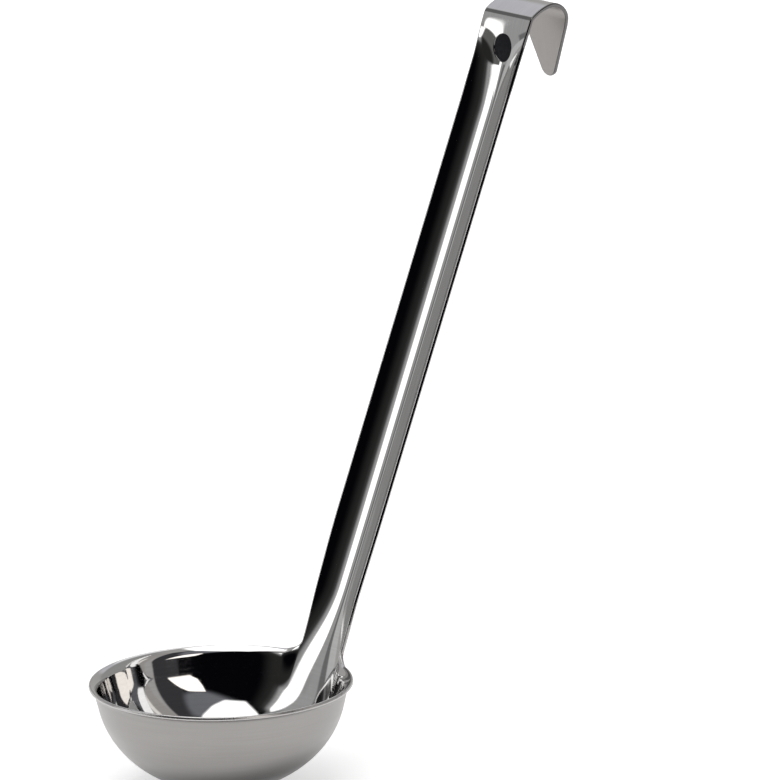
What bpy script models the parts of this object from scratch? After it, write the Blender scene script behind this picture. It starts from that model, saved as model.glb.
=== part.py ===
"""Sauce ladle: a pressed bowl with a flared lip, and a channel handle that ends in a hook.

Units are metres, +Z is up. The origin is the centre of the flat under the bowl. The bowl's
axis is Z, and the handle leans towards +X, mirrored about the plane y = 0. Everything is one
thickness of polished steel sheet, so each steel piece is a grid of points on the middle of
the sheet, which a Solidify modifier makes as thick as the sheet.
"""

import math

import bmesh
import bpy
from mathutils import Matrix, Vector

# Sheet and joints
SHEET = 0.0012
CLEARANCE = 0.0003
WELD_WIDTH = 0.0014
WELD_HEIGHT = 0.009          # along the neck, from the end of the rim's fillets to the weld

# Bowl
RIM_RADIUS = 0.0400          # over the flared lip
WALL_RADIUS = 0.0377         # outside, of the round wall's ellipse, where that is widest
WALL_HEIGHT = 0.0313         # outside, of half that ellipse
WALL_LEAN = math.radians(13.5)  # from upright, where the round ends and the wall runs on straight
WALL_STRAIGHT = 0.0054       # length, from there to where the lip starts to turn out
FLAT_RADIUS = 0.0070         # flat under the bowl
FLAT_BLEND = 0.0065          # width of the ring that joins the flat to the round wall
LIP_TURN = math.radians(77)  # from upright

# Handle
HANDLE_LEAN = math.radians(23.4)
HANDLE_LENGTH = 0.2188       # from the level where it leaves the bowl's curve to the crease
EASE_TURN = math.radians(6)  # turned while the bowl's curve eases into the straight handle
CHANNEL_RADIUS = 0.0210      # of the channel's round section
VALLEY_TURN = math.radians(10)  # turned up by each side of that section, about its middle
VALLEY_WIDTH = 0.0012        # to each side, over which that turn comes in
STRIP_WIDTH = 0.0217         # of the flat strip that the channel is pressed in
NECK_WIDTH = 0.0190          # straight across, where the handle rises from the rim
NECK_REACH = 0.0420          # above the fillets, over which the neck widens to the strip
CHANNEL_REACH = 0.0380       # from the bowl's curve, over which the channel forms
FILLET = 0.0028              # where the rim turns up into the handle's edges
RUNOUT = 0.0150              # length in which the channel's end comes up to the flat strip

# Hook
CREASE_TURN = math.radians(32)
CREASE_RADIUS = 0.0025
TOP_TURN = math.radians(25)  # of the hook's flatter top, between the crease and the round bend
TOP_RADIUS = 0.0170
HOOK_TURN = math.radians(94)
HOOK_RADIUS = 0.0060
TONGUE_LENGTH = 0.0193       # from the end of the bend to the tip
TIP_RADIUS = 0.0035

# Hanging hole and its plug
HOLE_DIAMETER = 0.0078
HOLE_DROP = 0.0093           # from the crease down to the hole's centre
FLANGE_WIDTH = 0.0012        # of the plug, past the hole all round
FLANGE_THICKNESS = 0.0008
PLUG_DOME = 0.0002

# Fineness of the grids
BOWL_COLUMNS = 46            # around the bowl, past the handle's fillets
FILLET_COLUMNS = 5
CHANNEL_COLUMNS = 16
FINE_STEP = 0.0001           # between the points that the profiles are worked out from


def ease(value):
    """Rise smoothly from 0 to 1 as the value does."""
    value = min(1.0, max(0.0, value))
    return value * value * (3.0 - 2.0 * value)


def mix(first, second, share):
    return first + (second - first) * share


def measured(points):
    """Pair each point of a profile with its distance along it."""
    rows = [(0.0, points[0])]
    for before, after in zip(points, points[1:]):
        rows.append((rows[-1][0] + math.dist(before, after), after))
    return rows


def along(profile, distance):
    """Give the point at a distance along a measured profile, or past its end."""
    low = 0
    high = len(profile) - 1
    while high - low > 1:
        middle = (low + high) // 2
        if profile[middle][0] <= distance:
            low = middle
        else:
            high = middle
    start, (x0, z0) = profile[low]
    end, (x1, z1) = profile[high]
    share = (distance - start) / (end - start)
    return mix(x0, x1, share), mix(z0, z1, share)


# The bowl's profile, on the middle of the sheet. The wall is half an ellipse, and its angle is
# 0 at the widest level and a quarter turn at the bottom.
WALL_A = WALL_RADIUS - SHEET / 2
WALL_B = WALL_HEIGHT - SHEET / 2
BLEND_ANGLE = math.acos((FLAT_RADIUS + FLAT_BLEND) / WALL_A)
BLEND_SLOPE = WALL_B / WALL_A / math.tan(BLEND_ANGLE)
WIDEST_LEVEL = SHEET / 2 + BLEND_SLOPE * FLAT_BLEND / 2 + WALL_B * math.sin(BLEND_ANGLE)
ROOT_ANGLE = math.atan(math.tan(HANDLE_LEAN + EASE_TURN) * WALL_B / WALL_A)
ROUND_ANGLE = math.atan(math.tan(WALL_LEAN) * WALL_B / WALL_A)
LIP_START_RADIUS = WALL_A * math.cos(ROUND_ANGLE) + WALL_STRAIGHT * math.sin(WALL_LEAN)
LIP_END_RADIUS = RIM_RADIUS - SHEET / 2 * math.cos(LIP_TURN)
LIP_BEND = (LIP_END_RADIUS - LIP_START_RADIUS) / (math.cos(WALL_LEAN) - math.cos(LIP_TURN))


def wall_point(angle):
    return WALL_A * math.cos(angle), WIDEST_LEVEL - WALL_B * math.sin(angle)


def bottom_profile():
    """Run from the edge of the flat, up the wall, to where the handle leaves it."""
    points = []
    for row in range(4):
        out = FLAT_BLEND * row / 4
        points.append((FLAT_RADIUS + out, SHEET / 2 + BLEND_SLOPE * out * out / FLAT_BLEND / 2))
    for row in range(9):
        points.append(wall_point(mix(BLEND_ANGLE, ROOT_ANGLE, row / 8)))
    return points


def upper_profile():
    """Run from where the handle leaves the wall to the end of the lip, finely divided."""
    points = []
    steps = math.ceil(WALL_B * (ROOT_ANGLE - ROUND_ANGLE) / FINE_STEP)
    for step in range(steps + 1):
        points.append(wall_point(mix(ROOT_ANGLE, ROUND_ANGLE, step / steps)))
    start_z = points[-1][1] + WALL_STRAIGHT * math.cos(WALL_LEAN)
    steps = math.ceil(LIP_BEND * LIP_TURN / FINE_STEP)
    for step in range(steps + 1):
        turn = mix(WALL_LEAN, LIP_TURN, step / steps)
        points.append((LIP_START_RADIUS + LIP_BEND * (math.cos(WALL_LEAN) - math.cos(turn)),
                       start_z + LIP_BEND * (math.sin(turn) - math.sin(WALL_LEAN))))
    return measured(points)


UPPER = upper_profile()
LIP_END = UPPER[-1][0]
ROOT_RADIUS, ROOT_LEVEL = UPPER[0][1]
FILLET_TOP = LIP_END + FILLET
WELD_MIDDLE = FILLET_TOP + WELD_HEIGHT

# The handle's easing starts with the curvature that the wall has there.
WALL_BEND = ((WALL_A * math.sin(ROOT_ANGLE)) ** 2 + (WALL_B * math.cos(ROOT_ANGLE)) ** 2) ** 1.5 \
    / (WALL_A * WALL_B)
EASE_LENGTH = 2 * EASE_TURN * WALL_BEND


def floor_profile():
    """Run up the middle of the channel's floor, from the bowl's wall to the crease."""
    x, z = ROOT_RADIUS, ROOT_LEVEL
    points = [(x, z)]
    steps = math.ceil(HANDLE_LENGTH / FINE_STEP)
    stride = HANDLE_LENGTH / steps
    for step in range(steps):
        left = max(0.0, 1.0 - (step + 0.5) * stride / EASE_LENGTH)
        lean = HANDLE_LEAN + EASE_TURN * left * left
        x += stride * math.sin(lean)
        z += stride * math.cos(lean)
        points.append((x, z))
    return measured(points)


FLOOR = floor_profile()
CHANNEL_HALF = CHANNEL_RADIUS * math.sin(STRIP_WIDTH / 2 / CHANNEL_RADIUS)
CHANNEL_DEPTH = CHANNEL_RADIUS - math.sqrt(CHANNEL_RADIUS ** 2 - CHANNEL_HALF ** 2)


def section(distance):
    """Give the channel's curvature, half its width and the tilt of its plane, at a distance."""
    x = along(FLOOR, distance)[0]
    opened = ease(distance / CHANNEL_REACH)
    radius = mix(x, CHANNEL_RADIUS, opened)
    left = ease((HANDLE_LENGTH - distance) / RUNOUT)
    curvature = left / radius
    widened = ease((distance - FILLET_TOP) / NECK_REACH)
    flattened = 1.0 - left
    half = mix(mix(NECK_WIDTH / 2, CHANNEL_HALF, widened), STRIP_WIDTH / 2, flattened)
    tilt = HANDLE_LEAN * ease(distance / FILLET_TOP)
    return curvature, half, tilt


def bow(curvature, y):
    """Say how far a round section stands forward at y from its middle."""
    return curvature * y * y / (1.0 + math.sqrt(1.0 - (curvature * y) ** 2))


def valley(y):
    """Say how far the turned-up sides stand forward at y from the middle."""
    return math.tan(VALLEY_TURN) * (math.hypot(y, VALLEY_WIDTH) - VALLEY_WIDTH)


def channel_point(distance, y):
    """Give the point of the handle's sheet at a distance up it and y across it."""
    x, z = along(FLOOR, distance)
    curvature, half, tilt = section(distance)
    formed = ease(distance / CHANNEL_REACH) * ease((HANDLE_LENGTH - distance) / RUNOUT / 2)
    lift = bow(curvature, y) + formed * (valley(y) - valley(half))
    if distance > HANDLE_LENGTH - RUNOUT:
        lift += CHANNEL_DEPTH - bow(curvature, half)
    return Vector((x - lift * math.cos(tilt), y, z + lift * math.sin(tilt)))


def channel_row(distance):
    """Give one row of points across the channel, evenly spaced round its section."""
    curvature, half, tilt = section(distance)
    row = []
    for column in range(CHANNEL_COLUMNS + 1):
        share = 2.0 * column / CHANNEL_COLUMNS - 1.0
        y = share * half
        if curvature > 1.0:
            y = math.sin(share * math.asin(curvature * half)) / curvature
        row.append(channel_point(distance, y))
    return row


def tongue_half(left):
    """Give half the tongue's width, at a distance from its tip."""
    run = TONGUE_LENGTH - TIP_RADIUS
    wide = STRIP_WIDTH / 2
    slope = math.acos(TIP_RADIUS / math.hypot(wide, run)) - math.atan2(run, wide)
    if left < TIP_RADIUS * (1.0 - math.sin(slope)):
        return math.sqrt(TIP_RADIUS ** 2 - (TIP_RADIUS - left) ** 2)
    return (TIP_RADIUS + (left - TIP_RADIUS) * math.sin(slope)) / math.cos(slope)


def hook_rows():
    """Give the rows of the hook: crease, flatter top, round bend and tapered tongue."""
    heading = HANDLE_LEAN
    middle = channel_point(HANDLE_LENGTH, 0.0)
    stations = []
    for radius, turn, count in ((CREASE_RADIUS, CREASE_TURN, 4), (TOP_RADIUS, TOP_TURN, 3),
                                (HOOK_RADIUS, HOOK_TURN, 12)):
        for step in range(count):
            stride = 2 * radius * math.sin(turn / count / 2)
            heading += turn / count / 2
            middle = middle + stride * Vector((math.sin(heading), 0.0, math.cos(heading)))
            heading += turn / count / 2
            stations.append((middle, STRIP_WIDTH / 2))
    down = Vector((math.sin(heading), 0.0, math.cos(heading)))
    lefts = [TONGUE_LENGTH * share for share in (0.8, 0.6, 0.4)]
    lefts += [TIP_RADIUS * (1.0 - math.sin(math.radians(angle))) for angle in (28, 40, 52, 64, 76, 86)]
    for left in lefts:
        stations.append((middle + down * (TONGUE_LENGTH - left), tongue_half(left)))
    rows = []
    for middle, half in stations:
        rows.append([middle + Vector((0.0, half * (2.0 * column / CHANNEL_COLUMNS - 1.0), 0.0))
                     for column in range(CHANNEL_COLUMNS + 1)])
    return rows


def make_material(name, colour, roughness, metallic):
    material = bpy.data.materials.new(name)
    material.use_nodes = True
    shader = material.node_tree.nodes["Principled BSDF"]
    shader.inputs["Base Color"].default_value = (*colour, 1.0)
    shader.inputs["Roughness"].default_value = roughness
    shader.inputs["Metallic"].default_value = metallic
    return material


def add_object(name, bm, material):
    """Make one named object of a bmesh, with its faces turned one way and shaded smooth."""
    bmesh.ops.recalc_face_normals(bm, faces=bm.faces)
    mesh = bpy.data.meshes.new(name)
    bm.to_mesh(mesh)
    bm.free()
    mesh.materials.append(material)
    mesh.shade_smooth()
    piece = bpy.data.objects.new(name, mesh)
    bpy.context.scene.collection.objects.link(piece)
    return piece


def add_thickness(piece):
    """Thicken a piece of middle surface to the sheet, half to each side."""
    solidify = piece.modifiers.new("sheet", "SOLIDIFY")
    solidify.thickness = SHEET
    solidify.offset = 0.0
    solidify.use_even_offset = True


def join_rows(bm, lower, upper, closed=False):
    """Fill the faces between two rows of vertices."""
    count = len(lower)
    for column in range(count if closed else count - 1):
        after = (column + 1) % count
        bm.faces.new((lower[column], lower[after], upper[after], upper[column]))


def loft(name, rows, material):
    bm = bmesh.new()
    verts = [[bm.verts.new(point) for point in row] for row in rows]
    for lower, upper in zip(verts, verts[1:]):
        join_rows(bm, lower, upper)
    piece = add_object(name, bm, material)
    add_thickness(piece)
    return piece


def bowl_columns():
    """List the bowl's columns: where each stands at the root's level, and how far it is past
    the handle's edge, from 0 on the handle to 1 where the plain lip starts."""
    half = NECK_WIDTH / 2
    edge = math.asin(half / ROOT_RADIUS)
    columns = []
    for column in range(CHANNEL_COLUMNS + 1):
        columns.append((edge * (2.0 * column / CHANNEL_COLUMNS - 1.0), 0.0))
    side = []
    for column in range(1, FILLET_COLUMNS + 1):
        past = 1.0 - math.cos(math.pi / 2 * column / FILLET_COLUMNS)
        side.append((math.asin((half + FILLET * past) / ROOT_RADIUS), past))
    columns += side
    first = side[-1][0]
    last = 2 * math.pi - first
    columns += [(mix(first, last, column / BOWL_COLUMNS), 1.0) for column in range(1, BOWL_COLUMNS)]
    columns += [(2 * math.pi - angle, past) for angle, past in reversed(side)]
    return columns


def bowl_point(angle, past, share):
    """Give the point at a share of the way from the root's level to the sheet's edge."""
    rise = math.sqrt(max(0.0, 1.0 - (1.0 - past) ** 2))
    distance = share * (LIP_END + FILLET * (1.0 - rise))
    radius, z = along(UPPER, distance)
    lip = Vector((radius * math.cos(angle), radius * math.sin(angle), z))
    if past == 1.0:
        return lip
    handle = channel_point(distance, ROOT_RADIUS * math.sin(angle))
    return handle.lerp(lip, ease(past))


def make_bowl(material):
    """Press the bowl in one piece with its lip and the neck that carries the handle."""
    bm = bmesh.new()
    columns = bowl_columns()
    rows = []
    for radius, z in bottom_profile()[:-1]:
        rows.append([bm.verts.new((radius * math.cos(angle), radius * math.sin(angle), z))
                     for angle, past in columns])
    for step in range(15):
        share = step / 14
        rows.append([bm.verts.new(bowl_point(angle, past, share)) for angle, past in columns])
    bm.faces.new(rows[0])
    for lower, upper in zip(rows, rows[1:]):
        join_rows(bm, lower, upper, closed=True)
    neck_end = WELD_MIDDLE - WELD_WIDTH / 2 - CLEARANCE
    neck = rows[-1][:CHANNEL_COLUMNS + 1]
    for step in range(1, 4):
        row = [bm.verts.new(point) for point in channel_row(mix(FILLET_TOP, neck_end, step / 3))]
        join_rows(bm, neck, row)
        neck = row
    piece = add_object("bowl", bm, material)
    add_thickness(piece)
    return piece


def make_weld(material):
    """Fill the butt joint across the neck, ground flush with the sheet."""
    start = WELD_MIDDLE - WELD_WIDTH / 2
    rows = [channel_row(start + WELD_WIDTH * step / 2) for step in range(3)]
    return loft("weld_seam", rows, material)


def hole_frame():
    """Give the hole's centre on the channel's floor, and the direction out of its front."""
    distance = HANDLE_LENGTH - HOLE_DROP
    below = channel_point(distance - FINE_STEP, 0.0)
    above = channel_point(distance + FINE_STEP, 0.0)
    up = (above - below).normalized()
    front = Vector((-up.z, 0.0, up.x))
    return channel_point(distance, 0.0), front


def add_turned(name, profile, segments, material):
    """Turn a profile of radii and heights, which starts and ends on the axis."""
    bm = bmesh.new()
    bottom = bm.verts.new((0.0, 0.0, profile[0][1]))
    top = bm.verts.new((0.0, 0.0, profile[-1][1]))
    rings = []
    for radius, height in profile[1:-1]:
        rings.append([bm.verts.new((radius * math.cos(2 * math.pi * step / segments),
                                    radius * math.sin(2 * math.pi * step / segments), height))
                      for step in range(segments)])
    for lower, upper in zip(rings, rings[1:]):
        join_rows(bm, lower, upper, closed=True)
    for step in range(segments):
        after = (step + 1) % segments
        bm.faces.new((bottom, rings[0][after], rings[0][step]))
        bm.faces.new((top, rings[-1][step], rings[-1][after]))
    piece = add_object(name, bm, material)
    piece.data.set_sharp_from_angle(angle=math.radians(40))
    return piece


def place_in_hole(piece):
    centre, front = hole_frame()
    turn = Vector((0.0, 0.0, 1.0)).rotation_difference(front).to_matrix().to_4x4()
    piece.matrix_world = Matrix.Translation(centre) @ turn


def make_handle(material):
    """Loft the strip from the weld, up the channel, through its runout and round the hook."""
    start = WELD_MIDDLE + WELD_WIDTH / 2 + CLEARANCE
    widened = FILLET_TOP + NECK_REACH
    runout = HANDLE_LENGTH - RUNOUT
    distances = [mix(start, widened, step / 6) for step in range(6)]
    distances += [mix(widened, runout, step / 8) for step in range(8)]
    distances += [mix(runout, HANDLE_LENGTH, step / 12) for step in range(13)]
    piece = loft("handle", [channel_row(distance) for distance in distances] + hook_rows(), material)
    length = 4 * SHEET
    cutter = add_turned("hole_cutter", [(0.0, -length), (HOLE_DIAMETER / 2, -length),
                                        (HOLE_DIAMETER / 2, length), (0.0, length)], 32, material)
    place_in_hole(cutter)
    cutter.hide_render = True
    cutter.display_type = "WIRE"
    hole = piece.modifiers.new("hanging_hole", "BOOLEAN")
    hole.operation = "DIFFERENCE"
    hole.solver = "EXACT"
    hole.object = cutter
    return piece


def make_plug(material):
    """Close the hanging hole with a press-in plug, flush in front and flanged behind."""
    stem = HOLE_DIAMETER / 2 - CLEARANCE
    flange = HOLE_DIAMETER / 2 + FLANGE_WIDTH
    seat = -SHEET / 2 - CLEARANCE
    back = seat - FLANGE_THICKNESS
    front = SHEET / 2
    soft = FLANGE_THICKNESS / 4
    profile = [(0.0, back), (flange - soft, back), (flange, back + soft), (flange, seat),
               (stem, seat), (stem, front), (stem / 2, front + PLUG_DOME * 0.75),
               (0.0, front + PLUG_DOME)]
    piece = add_turned("hanging_hole_plug", profile, 32, material)
    place_in_hole(piece)
    return piece


def main():
    for item in list(bpy.data.objects):
        bpy.data.objects.remove(item, do_unlink=True)
    steel = make_material("polished_steel", (0.62, 0.61, 0.60), 0.12, 1.0)
    weld = make_material("ground_weld", (0.60, 0.59, 0.58), 0.18, 1.0)
    plastic = make_material("black_plastic", (0.010, 0.011, 0.016), 0.35, 0.0)
    make_bowl(steel)
    make_weld(weld)
    make_handle(steel.copy())
    make_plug(plastic)


main()
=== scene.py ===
"""Looks of the sauce ladle: polished and satin steel sheet with rounded edges, and its studio.

Everything is in metres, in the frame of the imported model: +Z is up, and the origin is the
centre of the flat under the bowl. The bowl, the neck, the weld and the handle are one smooth
skin here, which is made whole, thickened to the sheet and then cut into the frame's pieces.
Its sizes repeat those of the part's source.
"""

import math

import bpy
import numpy as np
from mathutils import Matrix, Vector


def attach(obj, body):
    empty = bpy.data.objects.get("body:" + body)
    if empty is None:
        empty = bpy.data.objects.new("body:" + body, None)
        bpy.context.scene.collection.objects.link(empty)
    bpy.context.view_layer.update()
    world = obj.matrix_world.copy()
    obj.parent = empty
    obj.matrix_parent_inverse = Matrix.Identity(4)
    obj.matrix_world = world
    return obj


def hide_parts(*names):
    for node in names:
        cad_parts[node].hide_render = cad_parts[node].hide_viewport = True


# Sheet and joints
SHEET = 0.0012
EDGE_ROUND = 0.00042         # radius that the cut edges are tumbled to
WELD_WIDTH = 0.0014
WELD_HEIGHT = 0.009

# Bowl
RIM_RADIUS = 0.0400
WALL_RADIUS = 0.0377
WALL_HEIGHT = 0.0313
WALL_LEAN = math.radians(13.5)
WALL_STRAIGHT = 0.0054
FLAT_RADIUS = 0.0070
FLAT_BLEND = 0.0065
LIP_TURN = math.radians(77)

# Handle
HANDLE_LEAN = math.radians(23.4)
HANDLE_LENGTH = 0.2188
EASE_TURN = math.radians(6)
CHANNEL_RADIUS = 0.0210
VALLEY_TURN = math.radians(10)
VALLEY_WIDTH = 0.0012
STRIP_WIDTH = 0.0217
NECK_WIDTH = 0.0190
NECK_REACH = 0.0420
CHANNEL_REACH = 0.0380
FILLET = 0.0028
RUNOUT = 0.0150

# Hook
CREASE_TURN = math.radians(32)
CREASE_RADIUS = 0.0025
TOP_TURN = math.radians(25)
TOP_RADIUS = 0.0170
HOOK_TURN = math.radians(94)
HOOK_RADIUS = 0.0060
TONGUE_LENGTH = 0.0193
TIP_RADIUS = 0.0035
TAPER_BLEND = 0.0012         # rounds the corner of the outline where the tongue's taper starts
BENDS = ((CREASE_RADIUS, CREASE_TURN), (TOP_RADIUS, TOP_TURN), (HOOK_RADIUS, HOOK_TURN))

# Hanging hole and its plug
HOLE_DIAMETER = 0.0078
HOLE_DROP = 0.0093
PLUG_GAP = 0.00006
FLANGE_WIDTH = 0.0012
FLANGE_THICKNESS = 0.0008
PLUG_DOME = 0.0002
PLUG_SEAT = 0.0002           # gap between the flange and the back of the strip
PLUG_ROUND = 0.0002
PLUG_FLAT = 0.6              # share of the flange's radius that the first ring stands at
HEAD_ROUND = 0.00006
HEAD_ANGLE = math.radians(75)     # how far the head follows the rounded edge of the hole

# Fineness
FINE_STEP = 0.00001          # between the points that the profiles are worked out from
NORMAL_STEP = 0.00004        # over which a surface's slope is measured
STRIP_COLUMNS = 28
FILLET_COLUMNS = 12
BOWL_COLUMNS = 150
FLAT_ROWS = 4
BLEND_ROWS = 7
WALL_ROWS = 25
UPPER_ROWS = 13              # of the wall above where the handle leaves it
LIP_ROWS = 16
NECK_ROWS = 10
WELD_ROWS = 3
WIDENING_ROWS = 16           # of the handle where it widens above the weld
CHANNEL_ROWS = 50
RUNOUT_ROWS = 4              # between the hole's patch and the crease
CREASE_ROWS = 10
TOP_ROWS = 10
HOOK_ROWS = 26
TONGUE_ROWS = 22
TIP_ROWS = 14
FLAT_CORE = 0.8              # share of the flat that its rings take up, round its middle point
EDGE_STEPS = 4
HOLE_ROWS = 6                # rows of the strip above and below the hole that its patch takes up
HOLE_COLUMNS = 8
HOLE_RINGS = 5
ROW_STEP = 0.0010            # between rows where the channel runs out
PLUG_SEGMENTS = 64

FRONT, BACK, EDGE = 0, 1, 2  # material slots of the sheet

# Camera, as fitted to the photograph
IMAGE_SIZE = 780
CAMERA_TURN = math.radians(-40)   # round the object from looking along +Y
CAMERA_PITCH = math.radians(14.04)
CAMERA_ROLL = math.radians(-0.997)
CAMERA_DISTANCE = 2.5
CAMERA_LENS = 382.546        # focal length and sensor in millimetres
CAMERA_SENSOR = 36.0
CAMERA_FAR = 100.0
AIM_LEVEL = 0.0320
AIM_PIXEL = (220.92, 681.10)      # where the point at that level on the bowl's axis shows
FORWARD = Vector((-math.sin(CAMERA_TURN), math.cos(CAMERA_TURN), 0.0))
RIGHT = Vector((math.cos(CAMERA_TURN), math.sin(CAMERA_TURN), 0.0))
UP = Vector((0.0, 0.0, 1.0))

# Studio
ROOM_TONE = (0.46, 0.45, 0.44)


def upright(left, right, bottom, top):
    """Give a panel's corners from its two sides and its two levels."""
    return ((left, bottom), (left, top), (right, top), (right, bottom))


# Each panel has its corners in degrees (to the right of the camera, and up), the softness of its
# edges in degrees and its tone. A later panel hides an earlier one.
PANELS = (
    # The left of the room, with a dark and a light strip, and the right of the room
    (upright(-132, -58, -30, 52), 6.0, (0.42, 0.42, 0.42)),
    (upright(-119, -109, 6, 34), 3.0, (0.19, 0.19, 0.19)),
    (upright(-131, -118.5, -30, 34), 3.0, (0.60, 0.60, 0.60)),
    (upright(95, 146, -30, 60), 8.0, (0.36, 0.36, 0.355)),
    # The upper part of the room, a dark patch in it and the long light above
    (upright(-135, 144, 22, 58), 8.0, (0.64, 0.64, 0.68)),
    (((-104, 22), (-104, 46), (-130, 46), (-130, 31), (-118, 22)), 3.0, (0.15, 0.15, 0.15)),
    (upright(-172, 152, 37, 62), 5.0, (1.25, 1.25, 1.25)),
    # The dark side by the camera, and the greys that it turns to at its left end
    (upright(-66, 68, -30, 54), 3.0, (0.002, 0.002, 0.003)),
    (upright(-76, -44, -30, 50), 16.0, (0.026, 0.026, 0.025)),
    (upright(-74, -57, 21, 48), 10.0, (0.10, 0.10, 0.10)),
    (upright(-74, -61, 20, 48), 6.0, (0.45, 0.45, 0.45)),
    (((-92, -15), (-92, 18), (-74, 18), (-72, -15)), 8.0, (0.15, 0.15, 0.145)),
    # The greys at its right end, with a narrow light
    (((43, -20), (41, 45), (50, 64), (72, 60), (70, 40), (68, -20)), 4.0, (0.050, 0.050, 0.054)),
    (((68, -20), (71, 45), (66, 60), (100, 60), (95, 40), (92, -20)), 3.0, (0.40, 0.385, 0.37)),
    (((84, 2), (85, 42), (89.5, 42), (88.5, 2)), 2.0, (1.0, 0.97, 0.93)),
    # The grey above it, the window and the sky
    (((-34, 46), (-20, 39), (12, 36), (19, 31), (42, 32), (50, 50), (50, 62), (0, 68)), 9.0,
     (0.20, 0.205, 0.225)),
    (((18.3, 34.8), (37, 30.8), (45.5, 23), (54, 9.8), (31, 11.6), (24.5, 17), (20.6, 26)), 1.0,
     (1.9, 1.80, 1.70)),
    (((-62, 56), (-30, 46.5), (-3, 47), (14, 53), (38, 63), (100, 75), (150, 68), (-170, 58),
      (-125, 55), (-90, 59.5)), 3.0, (1.9, 1.9, 1.9)),
    # The tall light on the left, in a lower and an upper part
    (((-95.5, -10), (-98.9, 16), (-88, 17), (-88, -10)), 2.0, (1.9, 1.9, 1.9)),
    (((-88, 14), (-86.5, 26), (-80, 40), (-71, 48), (-66.5, 46), (-67, 22), (-73, 18.5)), 2.5,
     (1.9, 1.9, 1.9)),
)
FLOOR_SIZE = 6.0
FLOOR_WHITE = 0.8
FLOOR_LIFT = 0.58            # added to the floor where it is seen, straight or in a reflection

# Steel: how often its textures repeat in a metre
GRAIN_FINE, GRAIN_COARSE = 9000.0, 1500.0    # across the grain
GRAIN_LONG, GRAIN_LONGER = 120.0, 40.0       # along it
CLOUD_SCALE = 90.0
SCRATCH_SCALES = (4000.0, 160.0, 4000.0 / 3)
SCRATCH_FROM, SCRATCH_FULL = 0.70, 0.78      # noise where a scratch starts and is full
SCRATCH_HEIGHT = -0.5
COARSE_SHARE, CLOUD_SHARE = 0.6, 0.4         # of the wear
ROUGH_WEAR = (0.25, 0.75)                    # range of the wear that the roughness follows
SHADE_WEAR = (0.2, 0.8)
SHADE_RANGE = (0.94, 1.05)

# Painted shade, where a finish is darkened to stand in for shade: a direction, two levels along it,
# and the shares of the tone kept there
# Painted shade: the satin bowl's tone falls towards its base, in place of the shade and dark
# reflections under it
BOWL_PAINTED_SHADE = ((-0.077, 0.064, 1.0), 0.0060, 0.0158, 0.22, 1.0)
# Painted shade: the strip's bright edges are darkened over the top of the hook, in place of dark
# reflections there
HOOK_EDGE_PAINTED_SHADE = ((0.0, 0.0, 1.0), 0.1960, 0.2000, 1.0, 0.28)

# Each finish of the steel: tone, roughness, how far that varies, depth of the grain, whether the
# grain runs in rings round the bowl, and where painted shade darkens it
MIRROR_TONE = (0.66, 0.655, 0.65)
EDGE_TONE = (0.52, 0.51, 0.505)
FINISHES = {
    "mirror_bowl": (MIRROR_TONE, 0.045, 0.02, 0.00000012, True, None),
    "mirror_strip": (MIRROR_TONE, 0.045, 0.02, 0.00000012, False, None),
    # the satin bowl carries painted shade towards its base
    "satin_bowl": ((0.338, 0.327, 0.318), 0.33, 0.05, 0.000006, True, BOWL_PAINTED_SHADE),
    "satin_strip": ((0.300, 0.286, 0.276), 0.33, 0.05, 0.000006, False, None),
    "tumbled_edge": (EDGE_TONE, 0.30, 0.05, 0.000002, False, None),
    # the strip's edges carry painted shade over the top of the hook
    "bright_edge": (EDGE_TONE, 0.10, 0.04, 0.000001, False, HOOK_EDGE_PAINTED_SHADE),
}

# Plastic of the plug
PLASTIC_TONE = (0.003, 0.0035, 0.007)
PLASTIC_ROUGH = (0.42, 0.56)
PLASTIC_SHINE = 0.12
PLASTIC_CLOUD = (0.3, 0.7)   # range of the noise that the roughness follows
SPECK_SCALE = 9000.0
SPECK_DEPTH = 0.000004
BLOTCH_SCALE = 700.0


def ease(value):
    """Rise smoothly from 0 to 1 as the value does."""
    value = np.clip(value, 0.0, 1.0)
    return value * value * (3.0 - 2.0 * value)


def mix(first, second, share):
    return first + (second - first) * share


def points_of(x, y, z):
    return np.stack(np.broadcast_arrays(x, y, z), axis=-1)


# The bowl's profile, on the middle of the sheet. Its wall follows an ellipse.
WALL_A = WALL_RADIUS - SHEET / 2
WALL_B = WALL_HEIGHT - SHEET / 2
BLEND_ANGLE = math.acos((FLAT_RADIUS + FLAT_BLEND) / WALL_A)
BLEND_SLOPE = WALL_B / WALL_A / math.tan(BLEND_ANGLE)
WIDEST_LEVEL = SHEET / 2 + BLEND_SLOPE * FLAT_BLEND / 2 + WALL_B * math.sin(BLEND_ANGLE)
ROOT_ANGLE = math.atan(math.tan(HANDLE_LEAN + EASE_TURN) * WALL_B / WALL_A)
ROUND_ANGLE = math.atan(math.tan(WALL_LEAN) * WALL_B / WALL_A)
LIP_START_RADIUS = WALL_A * math.cos(ROUND_ANGLE) + WALL_STRAIGHT * math.sin(WALL_LEAN)
LIP_END_RADIUS = RIM_RADIUS - SHEET / 2 * math.cos(LIP_TURN)
LIP_BEND = (LIP_END_RADIUS - LIP_START_RADIUS) / (math.cos(WALL_LEAN) - math.cos(LIP_TURN))


class Profile:
    """A curve in the plane y = 0, read by the distance along it."""

    def __init__(self, x, z):
        self.x = x
        self.z = z
        self.distance = np.concatenate([[0.0], np.cumsum(np.hypot(np.diff(x), np.diff(z)))])
        self.length = self.distance[-1]

    def at(self, distance):
        """Give x and z at a distance, going straight on past the end."""
        past = np.maximum(0.0, distance - self.length)
        run = self.distance[-1] - self.distance[-2]
        x = np.interp(distance, self.distance, self.x) + past * (self.x[-1] - self.x[-2]) / run
        z = np.interp(distance, self.distance, self.z) + past * (self.z[-1] - self.z[-2]) / run
        return x, z


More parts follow.
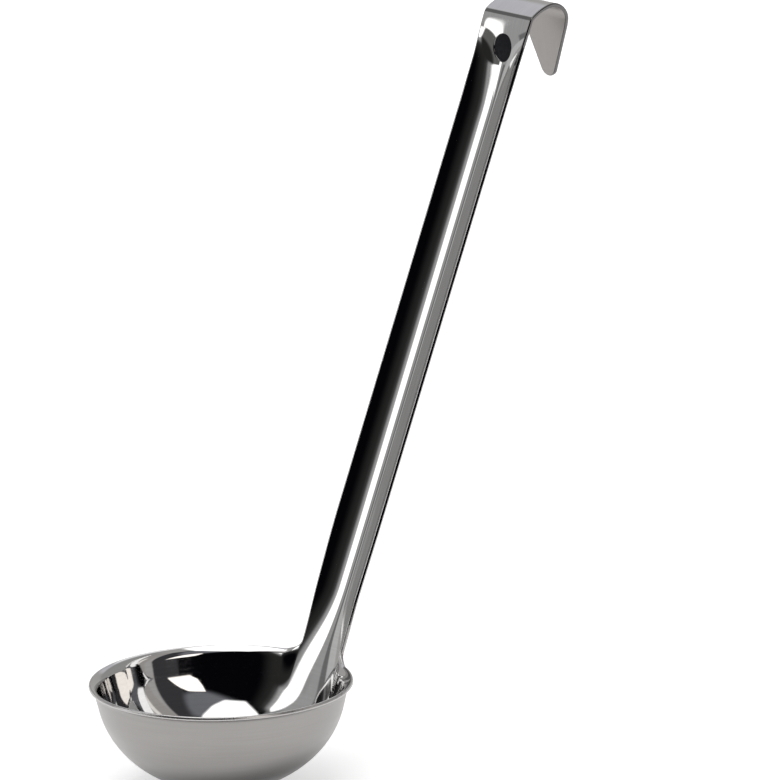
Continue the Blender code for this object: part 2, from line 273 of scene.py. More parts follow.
def upper_profile():
    """Run from where the handle leaves the wall to the end of the lip."""
    steps = math.ceil(WALL_B * (ROOT_ANGLE - ROUND_ANGLE) / FINE_STEP)
    angle = np.linspace(ROOT_ANGLE, ROUND_ANGLE, steps + 1)
    x = WALL_A * np.cos(angle)
    z = WIDEST_LEVEL - WALL_B * np.sin(angle)
    start_z = z[-1] + WALL_STRAIGHT * math.cos(WALL_LEAN)
    steps = math.ceil(LIP_BEND * LIP_TURN / FINE_STEP)
    turn = np.linspace(WALL_LEAN, LIP_TURN, steps + 1)
    lip_x = LIP_START_RADIUS + LIP_BEND * (math.cos(WALL_LEAN) - np.cos(turn))
    lip_z = start_z + LIP_BEND * (np.sin(turn) - math.sin(WALL_LEAN))
    return Profile(np.concatenate([x, lip_x]), np.concatenate([z, lip_z]))


UPPER = upper_profile()
LIP_END = UPPER.length
LIP_START = LIP_END - LIP_BEND * (LIP_TURN - WALL_LEAN)
ROOT_RADIUS = UPPER.x[0]
ROOT_LEVEL = UPPER.z[0]
FILLET_TOP = LIP_END + FILLET
WELD_MIDDLE = FILLET_TOP + WELD_HEIGHT
WALL_BEND = ((WALL_A * math.sin(ROOT_ANGLE)) ** 2 + (WALL_B * math.cos(ROOT_ANGLE)) ** 2) ** 1.5 \
    / (WALL_A * WALL_B)
EASE_LENGTH = 2 * EASE_TURN * WALL_BEND
CHANNEL_HALF = CHANNEL_RADIUS * math.sin(STRIP_WIDTH / 2 / CHANNEL_RADIUS)
CHANNEL_DEPTH = CHANNEL_RADIUS - math.sqrt(CHANNEL_RADIUS ** 2 - CHANNEL_HALF ** 2)


def run_along(headings, stride, x, z):
    """Walk from a point in equal strides with the given headings from upright."""
    return Profile(x + np.concatenate([[0.0], np.cumsum(np.sin(headings))]) * stride,
                   z + np.concatenate([[0.0], np.cumsum(np.cos(headings))]) * stride)


def floor_profile():
    """Run up the middle of the channel's floor, from the bowl's wall to the crease."""
    steps = math.ceil(HANDLE_LENGTH / FINE_STEP)
    stride = HANDLE_LENGTH / steps
    left = np.maximum(0.0, 1.0 - (np.arange(steps) + 0.5) * stride / EASE_LENGTH)
    return run_along(HANDLE_LEAN + EASE_TURN * left ** 2, stride, ROOT_RADIUS, ROOT_LEVEL)


FLOOR = floor_profile()


def section(distance):
    """Give the channel's curvature, half its width and the tilt of its plane, at a distance."""
    opened = ease(distance / CHANNEL_REACH)
    left = ease((HANDLE_LENGTH - distance) / RUNOUT)
    curvature = left / mix(FLOOR.at(distance)[0], CHANNEL_RADIUS, opened)
    widened = ease((distance - FILLET_TOP) / NECK_REACH)
    half = mix(mix(NECK_WIDTH / 2, CHANNEL_HALF, widened), STRIP_WIDTH / 2, 1.0 - left)
    tilt = HANDLE_LEAN * ease(distance / FILLET_TOP)
    return curvature, half, tilt


def bow(curvature, y):
    """Say how far a round section stands forward at y from its middle."""
    return curvature * y * y / (1.0 + np.sqrt(1.0 - (curvature * y) ** 2))


def valley(y):
    """Say how far the turned-up sides stand forward at y from the middle."""
    return math.tan(VALLEY_TURN) * (np.hypot(y, VALLEY_WIDTH) - VALLEY_WIDTH)


def channel_point(distance, y):
    """Give the point of the handle's sheet at a distance up it and y across it."""
    x, z = FLOOR.at(distance)
    curvature, half, tilt = section(distance)
    formed = ease(distance / CHANNEL_REACH) * ease((HANDLE_LENGTH - distance) / RUNOUT / 2)
    lift = bow(curvature, y) + formed * (valley(y) - valley(half))
    raised = CHANNEL_DEPTH - bow(curvature, half)
    lift = lift + np.where(distance > HANDLE_LENGTH - RUNOUT, raised, 0.0)
    return points_of(x - lift * np.cos(tilt), y, z + lift * np.sin(tilt))


def hook_profile():
    """Run from the crease over the flatter top and the bend to the tongue's tip."""
    turns = []
    for radius, turn in BENDS:
        turns.append(np.full(round(radius * turn / FINE_STEP), FINE_STEP / radius))
    turns.append(np.zeros(round(TONGUE_LENGTH / FINE_STEP)))
    turns = np.concatenate(turns)
    headings = HANDLE_LEAN + np.cumsum(turns) - turns / 2
    start = channel_point(HANDLE_LENGTH, 0.0)
    return run_along(headings, FINE_STEP, start[0], start[2])


HOOK = hook_profile()
STRIP_END = HANDLE_LENGTH + HOOK.length


def strip_point(distance, y):
    """Give the point of the whole strip's sheet, hook included."""
    x, z = HOOK.at(np.maximum(0.0, distance - HANDLE_LENGTH))
    hook = points_of(x, y, z)
    channel = channel_point(np.minimum(distance, HANDLE_LENGTH), y)
    return np.where((distance > HANDLE_LENGTH)[..., None], hook, channel)


def taper_slope():
    """Find the slope of the tongue's edges, tangent to its tip and meeting the full strip."""
    run = TONGUE_LENGTH - TIP_RADIUS
    half = STRIP_WIDTH / 2
    return math.acos(TIP_RADIUS / math.hypot(half, run)) - math.atan2(run, half)


TAPER_SLOPE = taper_slope()


def strip_half(distance, inset):
    """Give half the strip's width, less an inset all round, at a distance."""
    half = section(np.minimum(distance, HANDLE_LENGTH))[1] - inset
    radius = TIP_RADIUS - inset
    left = np.maximum(0.0, STRIP_END - inset - distance)
    edge = (radius + (left - radius) * math.sin(TAPER_SLOPE)) / math.cos(TAPER_SLOPE)
    gap = np.clip((edge - half) / TAPER_BLEND / 2 + 0.5, 0.0, 1.0)
    tapered = mix(edge, half, gap) - TAPER_BLEND * gap * (1.0 - gap)
    tip = np.sqrt(np.maximum(0.0, radius ** 2 - (radius - left) ** 2))
    tapered = np.where(left < radius * (1.0 - math.sin(TAPER_SLOPE)), tip, tapered)
    return np.where(distance > HANDLE_LENGTH, tapered, half)


def shell_point(distance, angle):
    """Give the point of the bowl's upper sheet, in a column that starts at an angle round it.
    Columns within the neck's width follow the handle, and the fillets blend them with the lip."""
    x, z = UPPER.at(distance)
    lip = points_of(x * np.cos(angle), x * np.sin(angle), z)
    side = ROOT_RADIUS * np.sin(angle)
    past = np.clip((np.abs(side) - NECK_WIDTH / 2) / FILLET, 0.0, 1.0)
    past = np.where(np.cos(angle) > 0.0, past, 1.0)
    limit = NECK_WIDTH / 2 + FILLET
    handle = channel_point(distance, np.clip(side, -limit, limit))
    return handle + (lip - handle) * ease(past)[..., None]


def shell_limit(angle):
    """Give the distance at which a column's sheet ends, short of its edge by the rounding."""
    half = NECK_WIDTH / 2 - EDGE_ROUND
    fillet = FILLET + EDGE_ROUND
    past = np.clip((np.abs(ROOT_RADIUS * np.sin(angle)) - half) / fillet, 0.0, 1.0)
    past = np.where(np.cos(angle) > 0.0, past, 1.0)
    return LIP_END - EDGE_ROUND + fillet * (1.0 - np.sqrt(np.maximum(0.0, 1.0 - (1.0 - past) ** 2)))


def wall_sheet(angle, around):
    """Give the point of the bowl's lower wall, at an angle of its ellipse."""
    x = WALL_A * np.cos(angle)
    return points_of(x * np.cos(around), x * np.sin(around), WIDEST_LEVEL - WALL_B * np.sin(angle))


def base_sheet(out, around):
    """Give the point of the bowl's bottom at a distance out from the edge of its flat."""
    x = FLAT_RADIUS + out
    rise = BLEND_SLOPE * np.maximum(0.0, out) ** 2 / FLAT_BLEND / 2
    return points_of(x * np.cos(around), x * np.sin(around), SHEET / 2 + rise)


def surface(function, along, across, step_along, step_across):
    """Give a surface's points at pairs of parameters, with its normals."""
    run = function(along + step_along, across) - function(along - step_along, across)
    side = function(along, across + step_across) - function(along, across - step_across)
    normal = np.cross(run, side)
    normal /= np.linalg.norm(normal, axis=-1, keepdims=True)
    return function(along, across), normal


class Skin:
    """The middle of the sheet: points with normals, and faces that name their piece."""

    def __init__(self):
        self.index = {}
        self.points = []
        self.normals = []
        self.maps = []
        self.faces = []
        self.pieces = []

    def add(self, points, normals, maps):
        """Add points and give their numbers, the same for a point that is there already."""
        shape = points.shape[:-1]
        numbers = []
        rows = zip(points.reshape(-1, 3), normals.reshape(-1, 3), maps.reshape(-1, 2))
        for point, normal, place in rows:
            key = tuple(np.round(point * 1e6).astype(int))
            if key not in self.index:
                self.index[key] = len(self.points)
                self.points.append(point)
                self.normals.append(normal)
                self.maps.append(place)
            numbers.append(self.index[key])
        return np.array(numbers).reshape(shape)

    def join(self, numbers, piece, closed=False, skip=None):
        """Fill the faces of a grid of numbers, whose rows run along and columns across."""
        rows, columns = numbers.shape
        for row in range(rows - 1):
            for column in range(columns if closed else columns - 1):
                if skip and skip(row, column):
                    continue
                after = (column + 1) % columns
                face = [numbers[row, column], numbers[row + 1, column],
                        numbers[row + 1, after], numbers[row, after]]
                face = [number for place, number in enumerate(face) if number != face[place - 1]]
                if len(face) > 2:
                    self.faces.append(face)
                    self.pieces.append(piece)


def bowl_angles():
    """List the angles of the bowl's columns: the neck, one fillet, the plain lip, the other."""
    half = NECK_WIDTH / 2 - EDGE_ROUND
    fillet = FILLET + EDGE_ROUND
    strip = np.linspace(-half, half, STRIP_COLUMNS + 1)
    quarter = np.linspace(0.0, math.pi / 2, FILLET_COLUMNS + 1)[1:]
    side = half + fillet * (1.0 - np.cos(quarter))
    neck = np.arcsin(strip / ROOT_RADIUS)
    side = np.arcsin(side / ROOT_RADIUS)
    plain = np.linspace(side[-1], 2 * math.pi - side[-1], BOWL_COLUMNS + 1)[1:-1]
    return np.concatenate([neck, side, plain, 2 * math.pi - side[::-1]])


def add_bowl(skin):
    """Add the flat, the wall and the lip with its fillets, and give the last row's measure."""
    around = bowl_angles()

    def ring(function, along, step, radius):
        place = np.full(around.shape, along)
        return surface(function, place, around, step, NORMAL_STEP / radius)

    centre = np.array([[0.0, 0.0, SHEET / 2]])
    up = np.array([[0.0, 0.0, 1.0]])
    middle = skin.add(centre, up, np.zeros((1, 2)))
    rows = [np.repeat(middle, len(around))]
    measure = 0.0
    last = centre

    def put(points, normals):
        nonlocal measure, last
        measure += float(np.linalg.norm(points - last, axis=-1).mean())
        last = points
        maps = np.stack([around * WALL_A, np.full(around.shape, measure)], axis=-1)
        rows.append(skin.add(points, normals, maps))

    flat = np.linspace(-FLAT_RADIUS * FLAT_CORE, 0.0, FLAT_ROWS + 1)
    blend = np.linspace(0.0, FLAT_BLEND, BLEND_ROWS + 1)[1:-1]
    for out in np.concatenate([flat, blend]):
        put(*ring(base_sheet, out, NORMAL_STEP, FLAT_RADIUS))
    for angle in np.linspace(BLEND_ANGLE, ROOT_ANGLE, WALL_ROWS + 1)[:-1]:
        put(*ring(wall_sheet, angle, -NORMAL_STEP / WALL_B, WALL_A))
    limit = shell_limit(around)
    bend = LIP_START / (LIP_END - EDGE_ROUND)
    upper = np.linspace(0.0, bend, UPPER_ROWS + 1)[:-1]
    lip = np.linspace(bend, 1.0, LIP_ROWS + 1)
    for share in np.concatenate([upper, lip]):
        put(*surface(shell_point, share * limit, around, NORMAL_STEP, NORMAL_STEP / ROOT_RADIUS))
    skin.join(np.array(rows), "bowl", closed=True)
    return measure


def strip_rows():
    """List the strip's rows as distances, and the piece that each starts or carries on."""
    weld_start = WELD_MIDDLE - WELD_WIDTH / 2
    weld_end = WELD_MIDDLE + WELD_WIDTH / 2
    widened = FILLET_TOP + NECK_REACH
    hole = HANDLE_LENGTH - HOLE_DROP
    bottom = hole - HOLE_ROWS * ROW_STEP
    top = hole + HOLE_ROWS * ROW_STEP
    spans = [(FILLET_TOP, weld_start, NECK_ROWS, "bowl"),
             (weld_start, weld_end, WELD_ROWS, "weld_seam"),
             (weld_end, widened, WIDENING_ROWS, "handle"),
             (widened, bottom, CHANNEL_ROWS, "handle"),
             (bottom, top, 2 * HOLE_ROWS, "handle"),
             (top, HANDLE_LENGTH, RUNOUT_ROWS, "handle")]
    start = HANDLE_LENGTH
    for (radius, turn), count in zip(BENDS, (CREASE_ROWS, TOP_ROWS, HOOK_ROWS)):
        spans.append((start, start + radius * turn, count, "handle"))
        start += radius * turn
    tip = STRIP_END - TIP_RADIUS * (1.0 - math.sin(TAPER_SLOPE))
    spans.append((start, tip, TONGUE_ROWS, "handle"))
    distances, pieces = [], []
    for first, last, count, piece in spans:
        distances += list(np.linspace(first, last, count + 1)[:-1])
        pieces += [piece] * count
    radius = TIP_RADIUS - EDGE_ROUND
    for angle in np.linspace(TAPER_SLOPE, math.pi / 2, TIP_ROWS + 1):
        distances.append(STRIP_END - EDGE_ROUND - radius * (1.0 - math.sin(angle)))
        pieces.append("handle")
    return np.array(distances), pieces


def add_strip(skin, measure):
    """Add the neck, the weld and the handle up to the tongue's tip, with the hanging hole."""
    distances, pieces = strip_rows()
    shares = np.linspace(-1.0, 1.0, STRIP_COLUMNS + 1)
    half = strip_half(distances, EDGE_ROUND)
    along = np.repeat(distances[:, None], len(shares), axis=1)
    across = half[:, None] * shares[None, :]
    points, normals = surface(strip_point, along, across, NORMAL_STEP, NORMAL_STEP)
    maps = np.stack([across, along - FILLET_TOP + measure], axis=-1)
    numbers = skin.add(points, normals, maps)
    hole = HANDLE_LENGTH - HOLE_DROP
    first = int(np.argmin(np.abs(distances - (hole - HOLE_ROWS * ROW_STEP))))
    last = first + 2 * HOLE_ROWS
    left = STRIP_COLUMNS // 2 - HOLE_COLUMNS
    right = STRIP_COLUMNS // 2 + HOLE_COLUMNS
    for row in range(len(distances) - 1):
        skin.join(numbers[row:row + 2], pieces[row],
                  skip=lambda _, column: first <= row < last and left <= column < right)
    border = [(row, left) for row in range(first, last)]
    border += [(last, column) for column in range(left, right)]
    border += [(row, right) for row in range(last, first, -1)]
    border += [(first, column) for column in range(right, left, -1)]
    place = np.array([(distances[row], across[row, column]) for row, column in border])
    turn = np.arctan2(place[:, 1], place[:, 0] - hole)
    radius = HOLE_DIAMETER / 2 + EDGE_ROUND
    round_hole = np.stack([hole + radius * np.cos(turn), radius * np.sin(turn)], axis=-1)
    rings = []
    for ring in range(HOLE_RINGS + 1):
        at = mix(place, round_hole, ring / HOLE_RINGS)
        points, normals = surface(strip_point, at[:, 0], at[:, 1], NORMAL_STEP, NORMAL_STEP)
        maps = np.stack([at[:, 1], at[:, 0] - FILLET_TOP + measure], axis=-1)
        rings.append(skin.add(points, normals, maps))
    skin.join(np.array(rings)[:, ::-1], "handle", closed=True)


def thicken(skin):
    """Give the sheet's two sides and its rounded edges, as points, normals, maps and faces."""
    middle = np.array(skin.points)
    normal = np.array(skin.normals)
    maps = np.array(skin.maps)
    count = len(middle)
    points = [middle + normal * SHEET / 2, middle - normal * SHEET / 2]
    normals = [normal, -normal]
    places = [maps, maps]
    faces, slots, pieces = [], [], []
    owner = {}
    for face, piece in zip(skin.faces, skin.pieces):
        faces.append(face)
        slots.append(FRONT)
        pieces.append(piece)
        faces.append([number + count for number in reversed(face)])
        slots.append(BACK)
        pieces.append(piece)
        for here, after in zip(face, face[1:] + face[:1]):
            owner[here, after] = piece
    border = {here: after for here, after in owner if (after, here) not in owner}
    before = {after: here for here, after in border.items()}
    rim = np.array(sorted(border))
    run = middle[[border[number] for number in rim]] - middle[[before[number] for number in rim]]
    out = np.cross(run, normal[rim])
    out /= np.linalg.norm(out, axis=-1, keepdims=True)
    angles = np.linspace(0.0, math.pi / 2, EDGE_STEPS + 1)
    steps = [(SHEET / 2 - EDGE_ROUND, angle) for angle in angles[1:]]
    steps += [(EDGE_ROUND - SHEET / 2, angle + math.pi / 2) for angle in angles[:-1]]
    number_of = {number: [number] for number in rim}
    total = 2 * count
    for height, angle in steps:
        facing = normal[rim] * math.cos(angle) + out * math.sin(angle)
        points.append(middle[rim] + normal[rim] * height + facing * EDGE_ROUND)
        normals.append(facing)
        places.append(maps[rim])
        for offset, number in enumerate(rim):
            number_of[number].append(total + offset)
        total += len(rim)
    for number in rim:
        number_of[number].append(number + count)
    for here in rim:
        after = border[here]
        for low in range(len(steps) + 1):
            faces.append([number_of[here][low], number_of[here][low + 1],
                          number_of[after][low + 1], number_of[after][low]])
            slots.append(EDGE)
            pieces.append(owner[here, after])
    points, normals, places = (np.concatenate(parts) for parts in (points, normals, places))
    return points, normals, places, faces, slots, pieces


def close_cuts(faces):
    """Give the faces that close a piece where it was cut from the skin."""
    edges = {(here, after) for face in faces for here, after in zip(face, face[1:] + face[:1])}
    open_edges = {here: after for here, after in edges if (after, here) not in edges}
    caps = []
    while open_edges:
        start = min(open_edges)
        loop = [start]
        while open_edges[loop[-1]] != start:
            loop.append(open_edges[loop[-1]])
        for number in loop:
            del open_edges[number]
        caps.append(loop[::-1])
    return caps


def make_piece(name, sheet, materials):
    """Make one piece of the thickened skin, closed at its cuts, with the skin's own normals."""
    points, normals, maps, faces, slots, pieces = sheet
    own = [(face, slot) for face, slot, piece in zip(faces, slots, pieces) if piece == name]
    caps = close_cuts([face for face, slot in own])
    own += [(cap, EDGE) for cap in caps]
    used = sorted({number for face, slot in own for number in face})
    place = {number: local for local, number in enumerate(used)}
    corners = [[place[number] for number in face] for face, slot in own]
    mesh = bpy.data.meshes.new(name + "_skin")
    mesh.from_pydata(points[used].tolist(), [], corners)
    for material in materials:
        mesh.materials.append(material)
    mesh.polygons.foreach_set("material_index", [slot for face, slot in own])
    mesh.shade_smooth()
    flat = mesh.uv_layers.new(name="sheet").data
    facing = []
    turn = 2 * math.pi * WALL_A
    for polygon, (face, slot) in zip(mesh.polygons, own):
        here = maps[face]
        spread = here[:, 0].max() - here[:, 0].min()
        wrapped = here[:, 0] + np.where((spread > turn / 2) & (here[:, 0] < turn / 2), turn, 0.0)
        cap = len(face) > 4
        for corner, loop in enumerate(polygon.loop_indices):
            flat[loop].uv = (wrapped[corner], here[corner, 1])
            facing.append(polygon.normal if cap else normals[face[corner]])
    mesh.normals_split_custom_set([tuple(normal) for normal in facing])
    piece = bpy.data.objects.new(name + "_skin", mesh)
    bpy.context.scene.collection.objects.link(piece)
    return piece


def make_tree(owner):
    """Empty a material's or world's node tree and give it."""
    owner.use_nodes = True
    owner.node_tree.nodes.clear()
    return owner.node_tree


def add_node(tree, kind, inputs=(), **settings):
    """Add a node with its settings and inputs, each a value or another node's output."""
    node = tree.nodes.new(kind)
    for name, value in settings.items():
        setattr(node, name, value)
    for socket, value in dict(inputs).items():
        if isinstance(value, bpy.types.NodeSocket):
            tree.links.new(value, node.inputs[socket])
        else:
            node.inputs[socket].default_value = value
    return node


def calculate(tree, operation, first, second=0.0):
    return add_node(tree, "ShaderNodeMath", {0: first, 1: second}, operation=operation).outputs[0]


def dot(tree, first, second):
    inputs = {0: first, 1: second}
    return add_node(tree, "ShaderNodeVectorMath", inputs, operation="DOT_PRODUCT").outputs["Value"]


def remap(tree, value, low, high, to_low, to_high):
    """Map a range of a value smoothly onto another range, held at both ends."""
    inputs = {"Value": value, "From Min": low, "From Max": high,
              "To Min": to_low, "To Max": to_high}
    node = add_node(tree, "ShaderNodeMapRange", inputs, interpolation_type="SMOOTHSTEP")
    return node.outputs["Result"]


def noise(tree, vector, scales, detail=3.0, roughness=0.55):
    """Give a noise whose grain is stretched by a scale along each axis of the vector."""
    grain = add_node(tree, "ShaderNodeVectorMath", {0: vector, 1: scales}, operation="MULTIPLY")
    inputs = {"Vector": grain.outputs[0], "Scale": 1.0, "Detail": detail, "Roughness": roughness}
    return add_node(tree, "ShaderNodeTexNoise", inputs).outputs["Fac"]


def toward(turn, height):
    """Give the direction at degrees to the right of the camera, seen from the object, and up."""
    turn, height = math.radians(turn), math.radians(height)
    level = -FORWARD * math.cos(turn) + RIGHT * math.sin(turn)
    return level * math.cos(height) + UP * math.sin(height)


def make_studio():
    """Surround the object with a dim room, its dark side by the camera, and its lit panels."""
    world = bpy.data.worlds.new("studio")
    bpy.context.scene.world = world
    tree = make_tree(world)
    direction = add_node(tree, "ShaderNodeTexCoord").outputs["Generated"]
    color = None
    for corners, soft, tone in PANELS:
        edge = math.sin(math.radians(soft) / 2)
        points = [toward(*corner) for corner in corners]
        middle = sum(points, Vector())
        inside = None
        for place, point in enumerate(points):
            normal = points[place - 1].cross(point).normalized()
            if normal.dot(middle) < 0:
                normal.negate()
            within = remap(tree, dot(tree, direction, normal), -edge, edge, 0.0, 1.0)
            inside = within if inside is None else calculate(tree, "MULTIPLY", inside, within)
        layer = add_node(tree, "ShaderNodeMix", data_type="RGBA")
        tree.links.new(inside, layer.inputs["Factor"])
        if color is None:
            layer.inputs[6].default_value = (*ROOM_TONE, 1.0)
        else:
            tree.links.new(color, layer.inputs[6])
        layer.inputs[7].default_value = (*tone, 1.0)
        color = layer.outputs[2]
    seen = add_node(tree, "ShaderNodeLightPath").outputs["Is Camera Ray"]
    plain = add_node(tree, "ShaderNodeMix", {6: color, 7: (1.0, 1.0, 1.0, 1.0)}, data_type="RGBA")
    tree.links.new(seen, plain.inputs["Factor"])
    background = add_node(tree, "ShaderNodeBackground", {"Color": plain.outputs[2]})
    add_node(tree, "ShaderNodeOutputWorld", {"Surface": background.outputs[0]})


def make_floor():
    """Lay a plain white floor, which shows as white behind the object and keeps its shadow."""
    mesh = bpy.data.meshes.new("floor")
    half = FLOOR_SIZE / 2
    corners = [(-half, -half, 0), (half, -half, 0), (half, half, 0), (-half, half, 0)]
    mesh.from_pydata(corners, [], [(0, 1, 2, 3)])
    floor = bpy.data.objects.new("floor", mesh)
    bpy.context.scene.collection.objects.link(floor)
    material = bpy.data.materials.new("floor_paper")
    tree = make_tree(material)
    white = (FLOOR_WHITE, FLOOR_WHITE, FLOOR_WHITE, 1.0)
    paper = add_node(tree, "ShaderNodeBsdfDiffuse", {"Color": white})
    path = add_node(tree, "ShaderNodeLightPath").outputs
    seen = calculate(tree, "MAXIMUM", path["Is Camera Ray"], path["Is Glossy Ray"])
    seen = calculate(tree, "MAXIMUM", seen, path["Is Transmission Ray"])
    lift = calculate(tree, "MULTIPLY", seen, FLOOR_LIFT)
    glow = add_node(tree, "ShaderNodeEmission", {"Strength": lift})
    both = add_node(tree, "ShaderNodeAddShader", {0: paper.outputs[0], 1: glow.outputs[0]})
    add_node(tree, "ShaderNodeOutputMaterial", {"Surface": both.outputs[0]})
    mesh.materials.append(material)


def add_camera():
    """Stand the camera where the photograph was taken from."""
    scene = bpy.context.scene
    data = bpy.data.cameras.new("camera")
    data.lens = CAMERA_LENS
    data.sensor_width = CAMERA_SENSOR
    data.clip_end = CAMERA_FAR
    camera = bpy.data.objects.new("camera", data)
    scene.collection.objects.link(camera)
    scene.camera = camera
    forward = FORWARD * math.cos(CAMERA_PITCH) - UP * math.sin(CAMERA_PITCH)
    upward = RIGHT.cross(forward)
    right = RIGHT * math.cos(CAMERA_ROLL) + upward * math.sin(CAMERA_ROLL)
    upward = upward * math.cos(CAMERA_ROLL) - RIGHT * math.sin(CAMERA_ROLL)
    focal = CAMERA_LENS / CAMERA_SENSOR * IMAGE_SIZE
    across = (AIM_PIXEL[0] - IMAGE_SIZE / 2) / focal
    down = (AIM_PIXEL[1] - IMAGE_SIZE / 2) / focal
    ray = (forward + right * across - upward * down).normalized()
    place = Vector((0.0, 0.0, AIM_LEVEL)) - ray * CAMERA_DISTANCE
    turn = Matrix((right, upward, -forward)).transposed()
    camera.matrix_world = Matrix.Translation(place) @ turn.to_4x4()


def make_steel(name, tone, roughness, spread, grain_depth, rings, painted_shade):
    """Make a steel with fine grain along the strip, or in rings round the bowl, light wear and any
    painted shade.
    """
    material = bpy.data.materials.new(name)
    tree = make_tree(material)
    sheet = add_node(tree, "ShaderNodeUVMap", uv_map="sheet").outputs[0]
    place = add_node(tree, "ShaderNodeTexCoord").outputs["Object"]
    flat = add_node(tree, "ShaderNodeSeparateXYZ", {0: sheet}).outputs
    if rings:
        at = add_node(tree, "ShaderNodeSeparateXYZ", {0: place}).outputs
        lines = add_node(tree, "ShaderNodeCombineXYZ", {0: at[0], 1: at[1], 2: flat[1]}).outputs[0]
        fine = noise(tree, lines, (GRAIN_LONG, GRAIN_LONG, GRAIN_FINE))
        coarse = noise(tree, lines, (GRAIN_LONGER, GRAIN_LONGER, GRAIN_COARSE), 2.0)
    else:
        fine = noise(tree, sheet, (GRAIN_FINE, GRAIN_LONG, 1.0))
        coarse = noise(tree, sheet, (GRAIN_COARSE, GRAIN_LONGER, 1.0), 2.0)
    cloud = noise(tree, place, (CLOUD_SCALE,) * 3, 4.0)
    scratch = noise(tree, place, SCRATCH_SCALES, 1.0)
    scratch = remap(tree, scratch, SCRATCH_FROM, SCRATCH_FULL, 0.0, 1.0)
    worn = calculate(tree, "MULTIPLY", coarse, COARSE_SHARE)
    worn = calculate(tree, "ADD", worn, calculate(tree, "MULTIPLY", cloud, CLOUD_SHARE))
    rough = remap(tree, worn, *ROUGH_WEAR, roughness - spread, roughness + spread)
    rough = calculate(tree, "ADD", rough, calculate(tree, "MULTIPLY", scratch, spread))
    shade = remap(tree, worn, *SHADE_WEAR, *SHADE_RANGE)
    # Painted shade: the tone is darkened along a direction, in place of shade
    if painted_shade:
        kept = remap(tree, dot(tree, place, painted_shade[0]), *painted_shade[1:])
        shade = calculate(tree, "MULTIPLY", shade, kept)
    tint = add_node(tree, "ShaderNodeVectorMath", {0: tone, "Scale": shade}, operation="SCALE")
    height = calculate(tree, "MULTIPLY", scratch, SCRATCH_HEIGHT)
    height = calculate(tree, "ADD", fine, height)
    bump = {"Strength": 1.0, "Distance": grain_depth, "Height": height}
    metal = {"Base Color": tint.outputs[0], "Roughness": rough, "Metallic": 1.0,
             "Normal": add_node(tree, "ShaderNodeBump", bump).outputs[0]}
    shader = add_node(tree, "ShaderNodeBsdfPrincipled", metal)
    add_node(tree, "ShaderNodeOutputMaterial", {"Surface": shader.outputs[0]})
    return material


def make_plastic():
    """Make the plug's black plastic, with a faint moulded texture."""
    material = bpy.data.materials.new("black_plastic")
    tree = make_tree(material)
    place = add_node(tree, "ShaderNodeTexCoord").outputs["Object"]
    speck = noise(tree, place, (SPECK_SCALE,) * 3, 2.0)
    blotch = noise(tree, place, (BLOTCH_SCALE,) * 3, 2.0)
    bump = {"Strength": 1.0, "Distance": SPECK_DEPTH, "Height": speck}
    plastic = {"Base Color": (*PLASTIC_TONE, 1.0), "Specular IOR Level": PLASTIC_SHINE,
               "Roughness": remap(tree, blotch, *PLASTIC_CLOUD, *PLASTIC_ROUGH),
               "Normal": add_node(tree, "ShaderNodeBump", bump).outputs[0]}
    shader = add_node(tree, "ShaderNodeBsdfPrincipled", plastic)
    add_node(tree, "ShaderNodeOutputMaterial", {"Surface": shader.outputs[0]})
    return material


def round_corner(radius, height, soft, start):
    """Give points round an outer corner of a turned profile, from a heading on by a quarter."""
    rise = -1.0 if start < -1.0 else 1.0
    centre = (radius - soft, height - rise * soft)
    points = []
    for angle in np.linspace(start, start + math.pi / 2, EDGE_STEPS + 1):
        points.append((centre[0] + soft * math.cos(angle), centre[1] + soft * math.sin(angle)))
    return points


def plug_profile():
    """Give the plug's outline as radii and heights above the middle of the sheet."""
    flange = HOLE_DIAMETER / 2 + FLANGE_WIDTH
    seat = -SHEET / 2 - PLUG_SEAT
    back = seat - FLANGE_THICKNESS
    profile = [(0.0, back), (flange * PLUG_FLAT, back)]
    profile += round_corner(flange, back, PLUG_ROUND, -math.pi / 2)
    profile += round_corner(flange, seat, PLUG_ROUND / 2, 0.0)
    profile += [(HOLE_DIAMETER / 2 - PLUG_GAP, seat)]
    under = EDGE_ROUND + PLUG_GAP
    centre = (HOLE_DIAMETER / 2 + EDGE_ROUND, SHEET / 2 - EDGE_ROUND)
    for angle in np.linspace(0.0, HEAD_ANGLE, 7):
        profile.append((centre[0] - under * math.cos(angle), centre[1] + under * math.sin(angle)))
    head = profile[-1][0] + HEAD_ROUND / 4
    crown = profile[-1][1] + HEAD_ROUND
    profile += round_corner(head, crown, HEAD_ROUND, 0.0)
    dome = np.linspace(1.0 - HEAD_ROUND / head, 0.0, 8)[1:]
    return profile + [(head * share, crown + PLUG_DOME * (1.0 - share ** 2)) for share in dome]


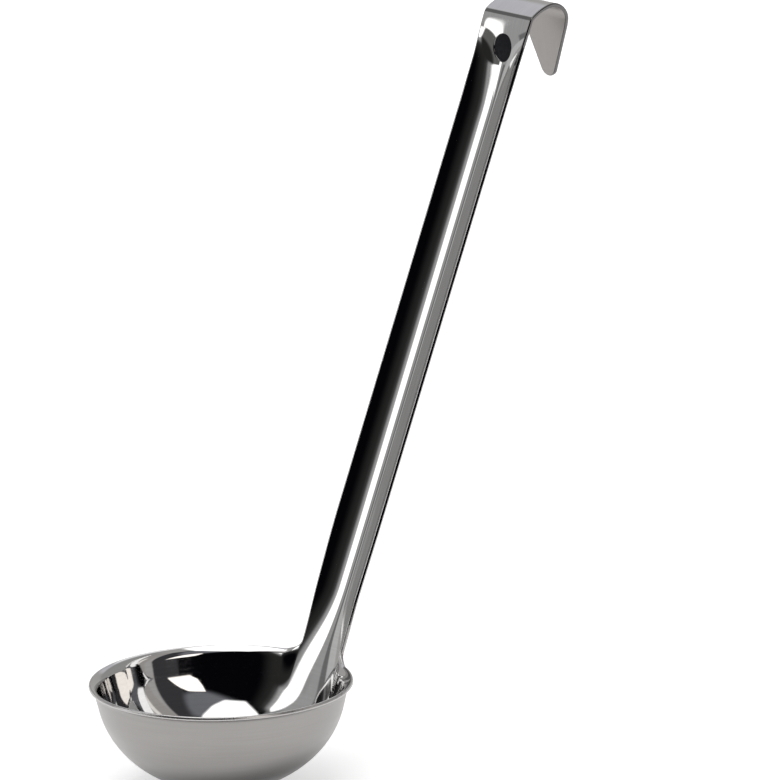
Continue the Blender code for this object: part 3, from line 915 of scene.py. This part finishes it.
def make_plug(material):
    """Turn the plug that closes the hanging hole, and seat it in the strip."""
    profile = plug_profile()
    around = np.linspace(0.0, 2 * math.pi, PLUG_SEGMENTS + 1)[:-1]
    place = np.array([[HANDLE_LENGTH - HOLE_DROP]])
    points, normals = surface(strip_point, place, place * 0.0, NORMAL_STEP, NORMAL_STEP)
    out = Vector(normals[0, 0])
    side = Vector((0.0, 1.0, 0.0))
    along = side.cross(out)
    mesh = bpy.data.meshes.new("hanging_hole_plug_skin")
    corners, faces = [], []
    for radius, height in profile:
        for turn in around:
            spot = along * math.cos(turn) * radius + side * math.sin(turn) * radius + out * height
            corners.append(Vector(points[0, 0]) + spot)
    for row in range(len(profile) - 1):
        low = row * PLUG_SEGMENTS
        high = low + PLUG_SEGMENTS
        for column in range(PLUG_SEGMENTS):
            after = (column + 1) % PLUG_SEGMENTS
            faces.append((low + column, low + after, high + after, high + column))
    mesh.from_pydata(corners, [], faces)
    mesh.validate()
    mesh.shade_smooth()
    mesh.materials.append(material)
    plug = bpy.data.objects.new("hanging_hole_plug_skin", mesh)
    bpy.context.scene.collection.objects.link(plug)
    return plug


def build():
    """Make the four pieces, and say what each rides on, replaces and is made of."""
    skin = Skin()
    measure = add_bowl(skin)
    add_strip(skin, measure)
    sheet = thicken(skin)
    steel = {name: make_steel(name, *finish) for name, finish in FINISHES.items()}
    of_bowl = [steel[name] for name in ("mirror_bowl", "satin_bowl", "tumbled_edge")]
    of_strip = [steel[name] for name in ("mirror_strip", "satin_strip", "bright_edge")]
    bowl = make_piece("bowl", sheet, of_bowl)
    weld = make_piece("weld_seam", sheet, of_strip)
    handle = make_piece("handle", sheet, of_strip)
    plug = make_plug(make_plastic())
    dressed = ((bowl, "bowl", "polished_steel"), (weld, "weld_seam", "ground_weld"),
               (handle, "handle", "polished_steel"), (plug, "hanging_hole_plug", "plug_plastic"))
    for piece, node, slot in dressed:
        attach(piece, "root")
        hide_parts(node)


bpy.context.scene.view_settings.view_transform = "Standard"
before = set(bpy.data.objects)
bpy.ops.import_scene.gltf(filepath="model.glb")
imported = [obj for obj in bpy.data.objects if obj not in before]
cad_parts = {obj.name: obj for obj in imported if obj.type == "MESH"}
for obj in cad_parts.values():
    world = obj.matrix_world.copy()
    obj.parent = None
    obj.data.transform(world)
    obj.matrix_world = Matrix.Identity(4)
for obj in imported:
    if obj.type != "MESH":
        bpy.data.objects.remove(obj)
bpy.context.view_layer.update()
build()
make_floor()
make_studio()
add_camera()
